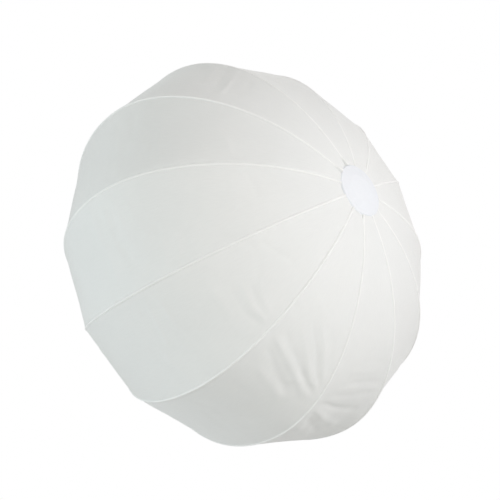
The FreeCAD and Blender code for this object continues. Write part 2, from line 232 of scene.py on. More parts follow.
def crease_height(points):
    """Sum of all creases at an array of surface points, in metres."""
    total = np.zeros(points.shape[:-1])
    wander = [noise_at(points, WANDER_SCALE, offset) for offset in WANDER_OFFSETS]
    points = points + np.stack(wander, -1) * CREASE_WANDER
    vigour = 1 + VIGOUR * noise_at(points, VIGOUR_SCALE, VIGOUR_OFFSET)
    for chain, half_width, height in ALL_CREASES:
        nodes = [chart(a, t) for a, t in chain]
        lengths = [np.linalg.norm(q - p) for p, q in zip(nodes, nodes[1:])]
        best = np.full(total.shape, np.inf)
        along = np.zeros(total.shape)
        walked = 0.0
        for p, q, length in zip(nodes, nodes[1:], lengths):
            rel = points - p
            t = np.clip(rel @ (q - p) / length ** 2, 0, 1)
            gap = np.linalg.norm(rel - t[..., None] * (q - p), axis=-1)
            nearer = gap < best
            best = np.where(nearer, gap, best)
            along = np.where(nearer, (walked + t * length) / sum(lengths), along)
            walked += length
        width = half_width * MM * (WIDTH_AT_START + WIDTH_GROWTH * along)
        taper = smooth(along / FADE_IN) * smooth((1 - along) / FADE_OUT)
        total += height * MM * taper * np.exp(-(best / width) ** 2)
    return total * vigour


# Slow relief of the cloth: height, noise scale per metre and noise offset of each kind.
SAG = (0.7 * MM, 11.0, 3.1)
RIPPLE = (0.3 * MM, 31.0, 8.7)
PUCKER = (0.42 * MM, 62.0, 1.9)       # along the seams
GATHER = (0.95 * MM, 105.0, 5.5)      # around the patch
PUCKER_REACH, PUCKER_FREE = 9 * MM, 4 * MM      # fades out over, and is free of the seam at
GATHER_REACH, GATHER_FREE = 13 * MM, 3 * MM
SEWN_FLAT = 2 * MM                    # cloth this near a seam keeps flat
FREE_OVER = 16 * MM                   # and it is free this much further out


def relief_of(kind, points):
    height, scale, offset = kind
    return height * noise_at(points, scale, offset)


def bell(distance, reach):
    return np.exp(-(distance / reach) ** 2)


def cover_relief(base, ridge, edge_gap, rim_gap):
    """Height of the cloth over its flat gore.

    edge_gap is the distance to the nearer seam and rim_gap the distance to the patch's rim."""
    free = smooth((edge_gap - SEWN_FLAT) / FREE_OVER)
    relief = (relief_of(SAG, base) + relief_of(RIPPLE, base) + crease_height(base)) * free
    puckers = relief_of(PUCKER, ridge) * bell(edge_gap, PUCKER_REACH)
    gathers = relief_of(GATHER, base) * bell(rim_gap, GATHER_REACH)
    return (relief + puckers * smooth(edge_gap / PUCKER_FREE)
            + gathers * smooth(edge_gap / GATHER_FREE))


# Seams: distances are measured from the ridge line over the rib.
SEAM_HEIGHT, SEAM_HALF = 1.3 * MM, 1.5 * MM
GROOVE_AT, GROOVE_HALF, GROOVE_DEEP = 3.3 * MM, 0.8 * MM, 0.22 * MM
SLOT_AT, SLOT_HALF, SLOT_DEEP = 2.8 * MM, 0.9 * MM, 1.1 * MM
FLAT_SEAMS = {3: 0.6, 4: 0.5}         # seams that lie flatter than the rest
OPEN_SEAMS = {6: -1}                  # this one has a deeper slot along one side
SEAM_AT_PATCH = 0.5                   # share of its height that a seam has at the patch
SEAM_RISE = 90 * MM                   # radial distance over which it reaches its height


def seam_scale(rib, theta):
    """How high a seam stands: less beside the patch, where its tape is pulled flat."""
    rise = smooth((meridian(theta)[0] - PATCH_R) / SEAM_RISE)
    front = SEAM_AT_PATCH + (1 - SEAM_AT_PATCH) * rise
    return FLAT_SEAMS.get(rib, 1.0) * np.where(theta < math.pi / 2, front, 1.0)[:, None]


def seam_profile(rib, side, gap, theta):
    """Raised seam over the rib with a shallow groove at each side."""
    roll = SEAM_HEIGHT * np.exp(-(gap / SEAM_HALF) ** 4)
    groove = GROOVE_DEEP * bell(gap - GROOVE_AT, GROOVE_HALF)
    if OPEN_SEAMS.get(rib) == side:
        groove = groove + SLOT_DEEP * bell(gap - SLOT_AT, SLOT_HALF)
    return (roll - groove) * seam_scale(rib, theta)


# ---------------------------------------------------------------- mesh helpers
def new_object(name, verts, faces, uv=None, smooth_angle=50):
    """A smooth-shaded mesh object; uv, in metres of cloth, goes to the map "cloth"."""
    mesh = bpy.data.meshes.new(name)
    mesh.from_pydata([tuple(map(float, v)) for v in verts], [], faces)
    if uv is not None:
        layer = mesh.uv_layers.new(name="cloth")
        loops = np.empty(len(mesh.loops), np.int32)
        mesh.loops.foreach_get("vertex_index", loops)
        layer.data.foreach_set("uv", np.asarray(uv, np.float32)[loops].ravel())
    mesh.shade_smooth()
    mesh.set_sharp_from_angle(angle=math.radians(smooth_angle))
    obj = bpy.data.objects.new(name, mesh)
    bpy.context.scene.collection.objects.link(obj)
    return obj


def quad_grid(rows, cols, start=0, flip=False, wrap=False):
    """Faces of a rows x cols grid of vertices; wrap closes it across the columns."""
    faces = []
    last = cols if wrap else cols - 1
    for i in range(rows - 1):
        for j in range(last):
            k = (j + 1) % cols
            quad = [start + i * cols + j, start + i * cols + k,
                    start + (i + 1) * cols + k, start + (i + 1) * cols + j]
            faces.append(tuple(reversed(quad)) if flip else tuple(quad))
    return faces


def shell_faces(rows, cols):
    """A closed thin shell: outer grid, inner grid and the rim between them."""
    count = rows * cols
    faces = quad_grid(rows, cols) + quad_grid(rows, cols, count, flip=True)
    rim = list(range(cols))
    rim += [i * cols + cols - 1 for i in range(1, rows)]
    rim += [(rows - 1) * cols + j for j in range(cols - 2, -1, -1)]
    rim += [i * cols for i in range(rows - 2, 0, -1)]
    for a, b in zip(rim, rim[1:] + rim[:1]):
        faces.append((b, a, a + count, b + count))
    return faces


def cloth_shell(name, points, normals, uv, thickness):
    """Closed thin cloth from a grid of points, with the given outward normals."""
    rows, cols = points.shape[:2]
    outer = points.reshape(-1, 3)
    inner = (points - normals * thickness).reshape(-1, 3)
    uv_flat = uv.reshape(-1, 2)
    return new_object(name, np.vstack([outer, inner]), shell_faces(rows, cols),
                      np.vstack([uv_flat, uv_flat]))


# ---------------------------------------------------------------- cover strips
SEAM_STEPS = np.array([0, 0.5, 1.0, 1.4, 1.8, 2.3, 2.8, 3.3, 4.0, 5.4]) * MM
EDGE_STEP = 0.6 * MM                      # the row or column beside a strip's edge
ROW_STEP = {"front": 3.3 * MM, "rear": 5.4 * MM}
PLAIN_COLUMNS, FINE_COLUMNS = 13, 25      # across one side of a strip, beyond the seam
CREASED_RIBS = (4, 7, 8, 9, 10)           # their strips are the fine ones
QUICK_STEP = 9 * MM
RIDGE_TURN = 2.6 * MM                     # where the normal has turned to the flat gore's


def across(half_width, columns):
    """Distances from the ridge out to the mid-gore line: fine at the seam and at the line."""
    inner = SEAM_STEPS[-1]
    share = np.linspace(0, 1, columns + 1)[1:]
    free = inner + (half_width - EDGE_STEP - inner)[:, None] * share
    ends = np.broadcast_to(SEAM_STEPS, (len(half_width), len(SEAM_STEPS)))
    return np.hstack([ends, free, half_width[:, None]])


def sheet_area(width, length):
    """Flat area of a sheet from its width at each station and the length up to there."""
    return float(np.sum((width[1:] + width[:-1]) / 2 * np.diff(length)))


def stations(theta_a, theta_b, step):
    """Values of theta about step metres apart, with a fine row at each end."""
    theta = np.linspace(theta_a, theta_b, 400)
    speed = np.hypot(GLOBE_R * np.cos(theta), depth_of(theta) * np.sin(theta))
    length = np.concatenate([[0], np.cumsum((speed[1:] + speed[:-1]) / 2 * np.diff(theta))])
    inner = np.linspace(EDGE_STEP, length[-1] - EDGE_STEP, round(length[-1] / step))
    where = np.concatenate([[0], inner, [length[-1]]])
    return np.interp(where, length, theta), where


def half_strip(rib, side, theta, columns, reach=1.0):
    """One side of a strip: base points, ridge points, gaps and normals of its grid."""
    azimuth = rib_azimuth(rib)
    radius, y = meridian(theta)
    half_width = radius * math.sin(HALF)
    gap = across(half_width * reach, columns)
    here = ring_point(azimuth, radius, y)[:, None, :]
    there = ring_point(azimuth + side * PITCH, radius, y)[:, None, :]
    base = here + (there - here) * (gap / (2 * half_width[:, None]))[..., None]
    flat = slope_normal(theta, azimuth + side * HALF, math.cos(HALF))[:, None, :]
    ridge = slope_normal(theta, azimuth, 1.0)[:, None, :]
    turn = smooth(gap / RIDGE_TURN)[..., None]
    normal = ridge * (1 - turn) + flat * turn
    normal = normal / np.linalg.norm(normal, axis=-1, keepdims=True)
    return base, np.broadcast_to(here, base.shape), gap, normal


def strip_shell(name, sides, length, thickness):
    """Both sides of a strip in one shell, with the ridge column once in the middle.

    sides are (points, normals, distance from the ridge), the left one first."""
    points, normals, offset = (np.concatenate([left[:, :0:-1], right], axis=1)
                               for left, right in zip(*sides))
    uv = np.stack([offset, np.broadcast_to(length[:, None], offset.shape)], -1)
    return cloth_shell(name, points, normals, uv, thickness)


def cover_strip(name, rib, half, theta_a, theta_b):
    """The cloth sewn to one rib, out to the middle of the gores at both sides."""
    creased = rib in CREASED_RIBS
    columns = FINE_COLUMNS if creased else PLAIN_COLUMNS
    step = ROW_STEP[half]
    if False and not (creased and half == "front"):
        step, columns = QUICK_STEP, PLAIN_COLUMNS
    theta, length = stations(theta_a, theta_b, step)
    rim_gap = np.abs(meridian(theta)[0] - PATCH_R)[:, None]
    sides = []
    for side in (-1, 1):
        base, ridge, gap, normal = half_strip(rib, side, theta, columns)
        height = cover_relief(base, ridge, gap, np.broadcast_to(rim_gap, gap.shape))
        height = height + seam_profile(rib, side, gap, theta)
        sides.append((base + normal * height[..., None], normal, side * gap))
    return strip_shell(name, sides, length, COVER_T)


FACING_STEP, FACING_COLUMNS = 9 * MM, 12
FACING_LAPS = {"rear": (2.2, THETA_REAR), "front": (THETA_FRONT, 1.02)}      # theta
FACING_REACH = 1.7                        # in half widths of a strip
FACING_DEEP = {-1: 5.0 * MM, 1: 6.0 * MM}       # how far each side sinks below the cover
FACING_AT_RIB = 1.4 * MM
FACING_SINKS_OVER = 16 * MM


def facing_strip(name, rib, theta_a, theta_b):
    """Doubling under the cover's end: it laps under both neighbours, so folding opens no gap."""
    theta, length = stations(theta_a, theta_b, FACING_STEP)
    sides = []
    for side, deep in FACING_DEEP.items():
        base, _, gap, normal = half_strip(rib, side, theta, FACING_COLUMNS, FACING_REACH)
        sink = FACING_AT_RIB + (deep - FACING_AT_RIB) * smooth(gap / FACING_SINKS_OVER)
        sides.append((base - normal * sink[..., None], normal, side * gap))
    return strip_shell(name, sides, length, FACING_T)


WAIST_LAP = (THETA_KNUCKLE - 0.085, THETA_KNUCKLE + 0.07)       # theta
WAIST_REACH = 0.8                         # in half widths of a strip
WAIST_DEEP = 6.5 * MM
WAIST_SKIP = len(SEAM_STEPS)  # columns left out beside the rib, where the knuckle's fork is


def waist_facing(name, rib):
    """A lap of cloth at each side of the knuckle, under the line where the two halves meet."""
    theta, length = stations(*WAIST_LAP, FACING_STEP)
    verts, faces, uvs, area = [], [], [], 0.0
    for side in (-1, 1):
        grid = half_strip(rib, side, theta, FACING_COLUMNS, WAIST_REACH)
        base, _, gap, normal = (part[:, WAIST_SKIP:][:, ::side] for part in grid)
        outer = base - normal * WAIST_DEEP
        inner = outer - normal * FACING_T
        faces += [tuple(k + len(verts) for k in face) for face in shell_faces(*gap.shape)]
        verts += [*outer.reshape(-1, 3), *inner.reshape(-1, 3)]
        uv = np.stack([side * gap, np.broadcast_to(length[:, None], gap.shape)], -1)
        uvs += 2 * [uv.reshape(-1, 2)]
        width = np.ptp(gap, axis=1)
        area += sheet_area(width, length)
    flat = (2 * float(width.max()), float(length[-1]))
    return new_object(name, verts, faces, np.vstack(uvs)), flat, area


# Seam ends: height of the arch, half width, radius where it ends.
TAB_START = 43.2 * MM
PLAIN_TAB = (0.8 * MM, 3.4 * MM, 54 * MM)
OPEN_TABS = {4: (3.4 * MM, 4.8 * MM, 62 * MM),   # two rib ends stand off the cloth
             5: (3.7 * MM, 5.0 * MM, 61 * MM)}
TAB_NARROWS = 0.42                # share of its width that it loses towards its end
TAB_OVER_SEAM = 0.2 * MM
TAB_SUNK = 0.3 * MM
TAB_ROWS, TAB_COLUMNS = 9, 13


def end_tab(name, rib):
    """Folded end of the seam tape beside the patch: an open arch over the rib's end."""
    azimuth = rib_azimuth(rib)
    height, half, end = OPEN_TABS.get(rib, PLAIN_TAB)
    share = np.linspace(0, 1, TAB_ROWS)
    radius = TAB_START + (end - TAB_START) * share
    theta = np.arcsin(radius / GLOBE_R)
    _, y = meridian(theta)
    across_tab = np.linspace(-1, 1, TAB_COLUMNS)
    half_width = (half * (1 - TAB_NARROWS * share))[:, None]
    over_seam = SEAM_HEIGHT * seam_scale(rib, theta) + TAB_OVER_SEAM
    rise = (height * (1 - smooth(share))[:, None] + over_seam) * (1 - across_tab ** 4)[None, :]
    droop = (half_width * np.abs(across_tab)) * math.sin(HALF) + TAB_SUNK
    normal = slope_normal(theta, azimuth, 1.0)[:, None, :]
    sideways = np.array([-math.sin(azimuth), 0, math.cos(azimuth)])
    points = ring_point(azimuth, radius, y)[:, None, :] + normal * (rise - droop)[..., None]
    points = points + sideways * (half_width * across_tab)[..., None]
    normals = np.broadcast_to(normal, points.shape)
    uv = np.stack([half_width * across_tab, np.broadcast_to(radius[:, None], rise.shape)], -1)
    return cloth_shell(name, points, normals, uv, TAB_T)


# ---------------------------------------------------------------- stitching
STITCH_PITCH = 3.2 * MM
STITCH_LEN = 2.3 * MM
STITCH_R = 0.2 * MM
STITCH_SUNK, STITCH_PROUD = 0.4 * STITCH_R, 0.3 * STITCH_R    # its ends and its middle
STITCH_LIFT = 0.15 * MM                                       # over a seam's groove
STITCH_LINE_STEP = 6 * MM


def stitch_rows(name, chains):
    """Short thread bars along chains of (points, normals): two pointed ends, a square middle."""
    verts, faces = [], []
    for points, normals in chains:
        step = np.linalg.norm(np.diff(points, axis=0), axis=1)
        walked = np.concatenate([[0], np.cumsum(step)])
        for at in np.arange(STITCH_PITCH, walked[-1] - STITCH_PITCH, STITCH_PITCH):
            ends = [np.array([np.interp(at + d, walked, points[:, k]) for k in range(3)])
                    for d in (-STITCH_LEN / 2, 0, STITCH_LEN / 2)]
            up = np.array([np.interp(at, walked, normals[:, k]) for k in range(3)])
            up /= np.linalg.norm(up)
            along = (ends[2] - ends[0]) / np.linalg.norm(ends[2] - ends[0])
            cross = np.cross(along, up)
            start = len(verts)
            verts.append(ends[0] - up * STITCH_SUNK)
            for at_share in (-0.25, 0.25):
                middle = ends[1] + along * STITCH_LEN * at_share
                for k in range(4):
                    a = math.pi / 4 + k * math.pi / 2
                    rim = cross * math.cos(a) + up * math.sin(a)
                    verts.append(middle + rim * STITCH_R + up * STITCH_PROUD)
            verts.append(ends[2] - up * STITCH_SUNK)
            for k in range(4):
                m = (k + 1) % 4
                faces.append((start, start + 1 + m, start + 1 + k))
                faces.append((start + 1 + k, start + 1 + m, start + 5 + m, start + 5 + k))
                faces.append((start + 9, start + 5 + k, start + 5 + m))
    return new_object(name, verts, faces, smooth_angle=80)


def seam_stitches(name, rib, theta_a, theta_b):
    """Two rows of topstitch, one in each groove beside the seam."""
    theta, _ = stations(theta_a, theta_b, STITCH_LINE_STEP)
    k = int(np.argmin(np.abs(SEAM_STEPS - GROOVE_AT)))
    chains = []
    for side in (-1, 1):
        base, _, gap, normal = half_strip(rib, side, theta, 2)
        lift = seam_profile(rib, side, gap[:, k:k + 1], theta) + STITCH_LIFT
        chains.append((base[:, k] + normal[:, k] * lift, normal[:, k]))
    return stitch_rows(name, chains)


# ---------------------------------------------------------------- node helpers
def node_material(name):
    """A new material, its nodes and links, and its shader."""
    mat = bpy.data.materials.new(name)
    mat.use_nodes = True
    nodes, links = mat.node_tree.nodes, mat.node_tree.links
    return mat, nodes, links, nodes["Principled BSDF"]


def add(nodes, kind, **values):
    """A new node with the given input values or properties."""
    node = nodes.new(kind)
    for key, value in values.items():
        if key in node.inputs:
            node.inputs[key].default_value = value
        else:
            setattr(node, key, value)
    return node


def ramp(nodes, links, source, stops):
    """Colours along a value, from (position, colour) stops."""
    node = nodes.new("ShaderNodeValToRGB")
    elements = node.color_ramp.elements
    while len(elements) < len(stops):
        elements.new(0.5)
    for element, (position, colour) in zip(elements, stops):
        element.position = position
        element.color = (*colour, 1)
    links.new(source, node.inputs["Fac"])
    return node.outputs["Color"]


def mix_colours(nodes, links, fac, a, b, mode="MIX"):
    """Blend of two colours; fac, a and b are each a socket or a plain value."""
    node = nodes.new("ShaderNodeMix")
    node.data_type = "RGBA"
    node.blend_type = mode
    for socket, value in ((node.inputs[0], fac), (node.inputs[6], a), (node.inputs[7], b)):
        if isinstance(value, bpy.types.NodeSocket):
            links.new(value, socket)
        elif isinstance(value, (int, float)):
            socket.default_value = value
        else:
            socket.default_value = (*value, 1)
    return node.outputs[2]


def maths(nodes, links, operation, *values):
    """Result of a Math node; each value is a socket or a number."""
    node = nodes.new("ShaderNodeMath")
    node.operation = operation
    for socket, value in zip(node.inputs, values):
        if isinstance(value, bpy.types.NodeSocket):
            links.new(value, socket)
        else:
            socket.default_value = value
    return node.outputs[0]


def bump(nodes, links, height, strength, distance, previous=None):
    """Normal bent by a height, on top of the previous bump's."""
    node = add(nodes, "ShaderNodeBump", Strength=strength, Distance=distance)
    links.new(height, node.inputs["Height"])
    if previous is not None:
        links.new(previous, node.inputs["Normal"])
    return node.outputs["Normal"]


# ---------------------------------------------------------------- materials
# Half width of the paler seam tape; its paler colour is a painted highlight along the seam.
TAPE_HIGHLIGHT_HALF = 1.9 * MM


def grey(value):
    return (value, value, value)


def cloth_material(name, colour, shade, thread=0.55 * MM, sheen=0.18, soil=0.35, tape_highlight=None):
    """Plain-woven cloth: crossed threads along the cloth's width and length, slubs, faint soil.

    A paler seam tape lies along the ridge, where the cloth's width is near 0; its paler colour is a painted
    highlight on the seam."""
    mat, nodes, links, shader = node_material(name)
    uv = nodes.new("ShaderNodeUVMap")
    uv.uv_map = "cloth"
    split = nodes.new("ShaderNodeSeparateXYZ")
    links.new(uv.outputs[0], split.inputs[0])
    place = nodes.new("ShaderNodeTexCoord").outputs["Object"]
    waves = []
    for axis in ("X", "Y"):
        turns = maths(nodes, links, "MULTIPLY", split.outputs[axis], math.pi / thread)
        waves.append(maths(nodes, links, "SINE", turns))
    over = maths(nodes, links, "MULTIPLY", waves[0], waves[1])
    weave = maths(nodes, links, "MULTIPLY_ADD", over, 0.5, 0.5)

    slubs = add(nodes, "ShaderNodeTexNoise", Scale=420.0, Detail=3.0, Roughness=0.6)
    stretch = add(nodes, "ShaderNodeMapping")
    stretch.inputs["Scale"].default_value = (1.0, 0.14, 1.0)
    links.new(uv.outputs[0], stretch.inputs["Vector"])
    links.new(stretch.outputs["Vector"], slubs.inputs["Vector"])

    clouds = add(nodes, "ShaderNodeTexNoise", Scale=5.5, Detail=4.0, Roughness=0.55)
    links.new(place, clouds.inputs["Vector"])
    fibre = add(nodes, "ShaderNodeTexNoise", Scale=950.0, Detail=2.0, Roughness=0.5)
    links.new(place, fibre.inputs["Vector"])

    tone = ramp(nodes, links, clouds.outputs["Fac"], [(0.32, shade), (0.68, colour)])
    threads = ramp(nodes, links, weave, [(0.0, grey(0.9)), (1.0, grey(1.0))])
    base = mix_colours(nodes, links, 0.55, tone, threads, "MULTIPLY")
    streak = ramp(nodes, links, slubs.outputs["Fac"], [(0.35, grey(0.955)), (0.62, grey(1.0))])
    base = mix_colours(nodes, links, soil, base, streak, "MULTIPLY")
    # Paler stripe along the ridge: the tape's colour, lightened into a painted seam highlight.
    if tape_highlight is not None:
        off_seam = maths(nodes, links, "ABSOLUTE", split.outputs["X"])
        on_tape_highlight = maths(nodes, links, "LESS_THAN", off_seam, TAPE_HIGHLIGHT_HALF)
        base = mix_colours(nodes, links, on_tape_highlight, base, tape_highlight)
    links.new(base, shader.inputs["Base Color"])

    rough = maths(nodes, links, "MULTIPLY_ADD", fibre.outputs["Fac"], 0.12, 0.78)
    links.new(rough, shader.inputs["Roughness"])
    normal = bump(nodes, links, weave, 0.35, 0.12 * MM)
    normal = bump(nodes, links, slubs.outputs["Fac"], 0.25, 0.15 * MM, normal)
    normal = bump(nodes, links, clouds.outputs["Fac"], 0.2, 2.0 * MM, normal)
    links.new(normal, shader.inputs["Normal"])
    shader.inputs["Sheen Weight"].default_value = sheen
    shader.inputs["Sheen Roughness"].default_value = 0.45
    shader.inputs["Specular IOR Level"].default_value = 0.25
    shader.inputs["Subsurface Weight"].default_value = 0.25
    shader.inputs["Subsurface Radius"].default_value = (1.0, 0.98, 0.95)
    shader.inputs["Subsurface Scale"].default_value = 4 * MM
    return mat


def metal_material(name, colour, roughness, grain_scale, dark=0.75, metallic=1.0):
    """Metal with fine grain, slightly duller and darker where it has been handled."""
    mat, nodes, links, shader = node_material(name)
    place = nodes.new("ShaderNodeTexCoord").outputs["Object"]
    grain = add(nodes, "ShaderNodeTexNoise", Scale=grain_scale, Detail=3.0, Roughness=0.65)
    cloud = add(nodes, "ShaderNodeTexNoise", Scale=38.0, Detail=4.0, Roughness=0.6)
    scratch = add(nodes, "ShaderNodeTexVoronoi", Scale=grain_scale * 0.6)
    scratch.feature = "DISTANCE_TO_EDGE"
    for node in (grain, cloud, scratch):
        links.new(place, node.inputs["Vector"])
    worn = tuple(c * dark for c in colour)
    tone = ramp(nodes, links, cloud.outputs["Fac"], [(0.3, worn), (0.7, colour)])
    links.new(tone, shader.inputs["Base Color"])
    rough = maths(nodes, links, "MULTIPLY_ADD", cloud.outputs["Fac"], 0.22, roughness - 0.1)
    links.new(rough, shader.inputs["Roughness"])
    normal = bump(nodes, links, grain.outputs["Fac"], 0.18, 0.08 * MM)
    normal = bump(nodes, links, scratch.outputs["Distance"], 0.06, 0.05 * MM, normal)
    links.new(normal, shader.inputs["Normal"])
    shader.inputs["Metallic"].default_value = metallic
    return mat


def plastic_material(name, colour, roughness, grain=1400.0):
    """Moulded plastic with a fine spark-eroded texture and a faint bloom."""
    mat, nodes, links, shader = node_material(name)
    place = nodes.new("ShaderNodeTexCoord").outputs["Object"]
    texture = add(nodes, "ShaderNodeTexVoronoi", Scale=grain)
    bloom = add(nodes, "ShaderNodeTexNoise", Scale=26.0, Detail=5.0, Roughness=0.6)
    for node in (texture, bloom):
        links.new(place, node.inputs["Vector"])
    lighter = tuple(min(1.0, c * 1.25 + 0.006) for c in colour)
    tone = ramp(nodes, links, bloom.outputs["Fac"], [(0.35, colour), (0.72, lighter)])
    links.new(tone, shader.inputs["Base Color"])
    rough = maths(nodes, links, "MULTIPLY_ADD", bloom.outputs["Fac"], 0.18, roughness - 0.09)
    links.new(rough, shader.inputs["Roughness"])
    normal = bump(nodes, links, texture.outputs["Distance"], 0.3, 0.06 * MM)
    links.new(normal, shader.inputs["Normal"])
    return mat


# The record's slots, and "thread" for the stitching, which is the cover's slot too.
MATERIALS = {
    # The cover's paler tape colour is a painted highlight along its seams.
    "cover_fabric": cloth_material("cover_cloth", (0.81, 0.815, 0.797), (0.785, 0.793, 0.779),
                                   sheen=0.5, tape_highlight=(0.85, 0.85, 0.835)),
    "patch_fabric": cloth_material("patch_cloth", (0.78, 0.795, 0.825), (0.755, 0.78, 0.815),
                                   thread=0.45 * MM, sheen=0.25, soil=0.15),
    "hem_elastic": cloth_material("hem_elastic", (0.74, 0.745, 0.74), (0.66, 0.665, 0.66),
                                  thread=0.8 * MM, sheen=0.1),
    "thread": cloth_material("seam_thread", (0.88, 0.88, 0.87), (0.84, 0.84, 0.83),
                             thread=0.3 * MM, sheen=0.05),
    "ring_black": metal_material("anodised_black", (0.022, 0.023, 0.026), 0.42, 900.0, 0.7, 0.35),
    "insert_metal": metal_material("insert_metal", (0.60, 0.60, 0.61), 0.34, 700.0),
    "fastener_steel": metal_material("fastener_metal", (0.52, 0.52, 0.54), 0.3, 1500.0),
    "rib_steel": metal_material("rib_wire", (0.62, 0.63, 0.64), 0.28, 1800.0),
    "collar_plastic": plastic_material("collar_black", (0.028, 0.028, 0.031), 0.52),
    "knob_plastic": plastic_material("knob_black", (0.034, 0.034, 0.037), 0.6, 900.0),
    "hub_plastic": plastic_material("hub_white", (0.78, 0.78, 0.77), 0.48),
}


def paint(obj, slot):
    """Gives a new piece the material of its slot."""
    obj.data.materials.clear()
    obj.data.materials.append(MATERIALS[slot])


def paint_cad_nodes():
    """Gives the CAD parts that stay visible the material of their slot."""
    slots = {s["node"]: s["material_slot"] for s in frame["record"]["subparts"]}
    for name, obj in frame["nodes"].items():
        obj.data.materials.clear()
        obj.data.materials.append(MATERIALS[slots[name]])


# ---------------------------------------------------------------- the cover's pieces
MEASURE_STEP = 5 * MM
HALVES = {
    # where the strip begins and ends along the rib, and the joint that folds it
    "rear": (THETA_KNUCKLE, THETA_REAR, "rib_fold"),
    "front": (THETA_FRONT, THETA_KNUCKLE, "knuckle"),
}


def fold_with(obj, body):
    """Rides on one rib half, with a mesh of its own."""
    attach(obj, body)
    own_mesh(obj)


def flat_size(theta_a, theta_b, reach=1.0):
    """Flat (width, length) and area of a strip that reaches this many half widths each way."""
    theta, length = stations(theta_a, theta_b, MEASURE_STEP)
    width = 2 * reach * meridian(theta)[0] * math.sin(HALF)
    return (float(width.max()), float(length[-1])), sheet_area(width, length)


def make_cover():
    """A strip, its stitching and its facing on each rib half, and what lies at the strip's end."""
    for rib in range(RIBS):
        tag = f"{rib + 1:02d}"
        for half, (theta_a, theta_b, joint) in HALVES.items():
            strip = cover_strip(f"cover_{half}_{tag}", rib, half, theta_a, theta_b)
            paint(strip, "cover_fabric")
            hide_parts(f"{half}_cover_{tag}")
            stitches = seam_stitches(f"stitching_{half}_{tag}", rib, theta_a, theta_b)
            paint(stitches, "thread")
            facing = facing_strip(f"facing_{half}_{tag}", rib, *FACING_LAPS[half])
            paint(facing, "cover_fabric")
            if half == "front":
                extra = end_tab(f"seam_end_{tag}", rib)
            else:
                extra, flat, area = waist_facing(f"facing_waist_{tag}", rib)
            paint(extra, "cover_fabric")
            for piece in (strip, stitches, facing, extra):
                fold_with(piece, f"{half}_{tag}")
            flat, area = flat_size(theta_a, theta_b)
            flat, area = flat_size(*FACING_LAPS[half], FACING_REACH)


PATCH_T = 0.9 * MM
PATCH_RINGS, PATCH_SPOKES = 26, 120
PATCH_EDGE = np.array([2.4, 1.7, 1.1, 0.6, 0.2, 0.0]) * MM      # its outer rings, from the rim
PATCH_RISE, PATCH_RISE_OVER = 1.1 * MM, 1.6 * MM                # its rounded edge
PATCH_HEM, PATCH_HEM_AT, PATCH_HEM_HALF = 0.5 * MM, 2.6 * MM, 1.5 * MM
PATCH_DOME, PATCH_DOME_OVER = 2.2 * MM, 22 * MM
PATCH_WAVE, PATCH_WAVE_SCALE, PATCH_WAVE_AT = 0.45 * MM, 95, 4.2
PATCH_WAVE_FREE = 4 * MM                                        # from the rim
PATCH_ROWS = (                    # stitching: distance from the rim, and out from the globe
    (5.2 * MM, 1.05 * MM),
    (8.4 * MM, 0.98 * MM),
)


def make_patch():
    """Round doubled patch over the front opening, hemmed, with two rows of stitching."""
    rings, spokes = PATCH_RINGS, PATCH_SPOKES
    radii = np.concatenate([np.linspace(0.4 * MM, PATCH_R - 3 * MM, rings - len(PATCH_EDGE)),
                            PATCH_R - PATCH_EDGE])
    azimuth = np.linspace(0, 2 * math.pi, spokes, endpoint=False)
    _, y = meridian(np.arcsin(radii / GLOBE_R))
    edge = PATCH_R - radii
    lift = PATCH_RISE * smooth(edge / PATCH_RISE_OVER)
    lift = lift + PATCH_HEM * bell(edge - PATCH_HEM_AT, PATCH_HEM_HALF)
    lift = lift + PATCH_DOME * smooth(edge / PATCH_DOME_OVER)
    wave = np.array([[noise.noise(Vector((math.cos(a) * r * PATCH_WAVE_SCALE,
                                          math.sin(a) * r * PATCH_WAVE_SCALE, PATCH_WAVE_AT)))
                      for a in azimuth] for r in radii])
    lift = lift[:, None] + PATCH_WAVE * wave * smooth(edge / PATCH_WAVE_FREE)[:, None]
    points = np.stack([radii[:, None] * np.cos(azimuth), y[:, None] - lift,
                       radii[:, None] * np.sin(azimuth)], -1)
    count = rings * spokes
    under = points + np.array([0, PATCH_T, 0])
    verts = np.vstack([points.reshape(-1, 3), under.reshape(-1, 3)])
    faces = quad_grid(rings, spokes, wrap=True)
    faces += quad_grid(rings, spokes, count, flip=True, wrap=True)
    faces.append(tuple(reversed(range(spokes))))
    faces.append(tuple(count + j for j in range(spokes)))
    last = (rings - 1) * spokes
    for j in range(spokes):
        k = (j + 1) % spokes
        faces.append((last + j, last + k, count + last + k, count + last + j))
    uv = np.vstack([points[..., [0, 2]].reshape(-1, 2)] * 2)
    patch = new_object("front_patch_cloth", verts, faces, uv)
    paint(patch, "patch_fabric")
    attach(patch, "hub")
    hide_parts("front_patch")
    make_patch_stitches()


def make_patch_stitches():
    """The patch's rings of stitches."""
    turn = np.linspace(0, 2 * math.pi, 181)
    chains = []
    for from_rim, lift in PATCH_ROWS:
        radius = PATCH_R - from_rim
        _, y = meridian(np.arcsin(np.full_like(turn, radius) / GLOBE_R))
        points = np.stack([radius * np.cos(turn), y - lift, radius * np.sin(turn)], -1)
        normals = np.broadcast_to(np.array([0.0, -1.0, 0.0]), points.shape)
        chains.append((points, normals))
    rows = stitch_rows("patch_stitching", chains)
    paint(rows, "thread")
    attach(rows, "hub")


HEM_INNER, HEM_OUTER = HEM_R - 4.3 * MM, HEM_R - 0.2 * MM
HEM_AROUND, HEM_SECTION = 480, 14
HEM_PLEATS, HEM_PLEAT, HEM_UNEVEN = 96, 0.32 * MM, 0.2 * MM
HEM_SQUARENESS = 0.6              # 1 gives a round section, less a squarer one
HEM_FILLS = 0.96                  # share of its node's depth


def squared(value):
    return math.copysign(abs(value) ** HEM_SQUARENESS, value)


